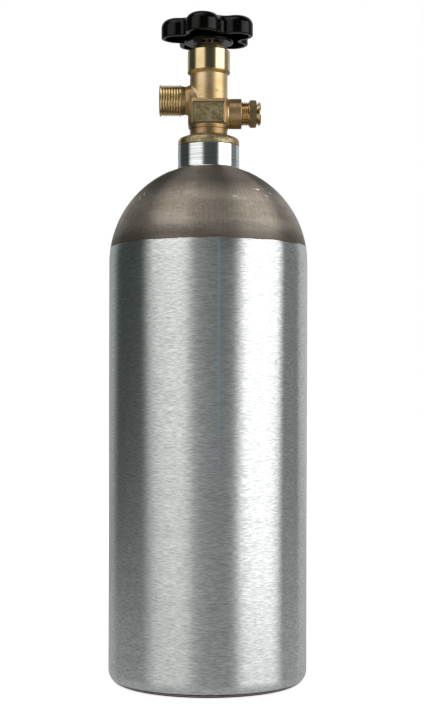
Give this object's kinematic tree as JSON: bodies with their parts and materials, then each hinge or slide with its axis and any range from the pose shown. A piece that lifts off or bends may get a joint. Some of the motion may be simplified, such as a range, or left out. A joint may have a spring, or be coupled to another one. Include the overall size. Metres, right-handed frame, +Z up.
{
  "type": "gas cylinder with handwheel valve",
  "caption": "Portable aluminium carbon dioxide cylinder with a domed shoulder, a brass side-outlet valve, a lobed black handwheel and a burst-disc relief plug.",
  "frame": {"origin": "centre of the foot, on the surface that the cylinder stands on", "axes": "+Z up along the cylinder's axis to the handwheel; the outlet points along -X and the relief plug along +X"},
  "size_m": [0.1334, 0.1332, 0.4453],
  "materials": {
    "brushed_aluminium": "brushed round, with a darker satin shoulder and a polished neck",
    "forged_brass": "satin forged, machined at the threads",
    "polished_brass": "bright turned",
    "black_wheel": "glossy moulded",
    "black_rubber": "matte",
    "white_nylon": "matte",
    "zinc_steel": "bright plated",
    "copper": "satin copper"
  },
  "bodies": {
    "cylinder": {"cylinder_shell": "brushed_aluminium", "neck_o_ring": "black_rubber", "valve_body": "forged_brass", "bonnet": "polished_brass", "bonnet_gasket": "white_nylon", "thrust_washer": "white_nylon", "safety_plug": "polished_brass", "disc_ring": "polished_brass", "burst_disc": "copper", "safety_gasket": "copper"},
    "spindle": {"stem": "polished_brass", "stem_o_ring": "black_rubber", "stem_backup_ring": "white_nylon", "handwheel": "black_wheel", "wheel_insert": "zinc_steel", "flat_washer": "zinc_steel", "spring_washer": "zinc_steel", "wheel_nut": "zinc_steel"},
    "plug": {"lower_plug": "polished_brass", "seat_disc": "white_nylon"}
  },
  "joints": [
    {"name": "handwheel_turn", "type": "hinge", "parent": "cylinder", "child": "spindle", "pos_m": [0, 0, 0.4385], "axis": [0, 0, 1], "range_deg": [0, 630]},
    {"name": "plug_lift", "type": "slide", "parent": "spindle", "child": "plug", "axis": [0, 0, 1], "range_m": [0, 0.0023]}
  ],
  "couplings": [
    {"joint": "plug_lift", "follows": "handwheel_turn", "m_per_rad": 0.00020213}
  ]
}
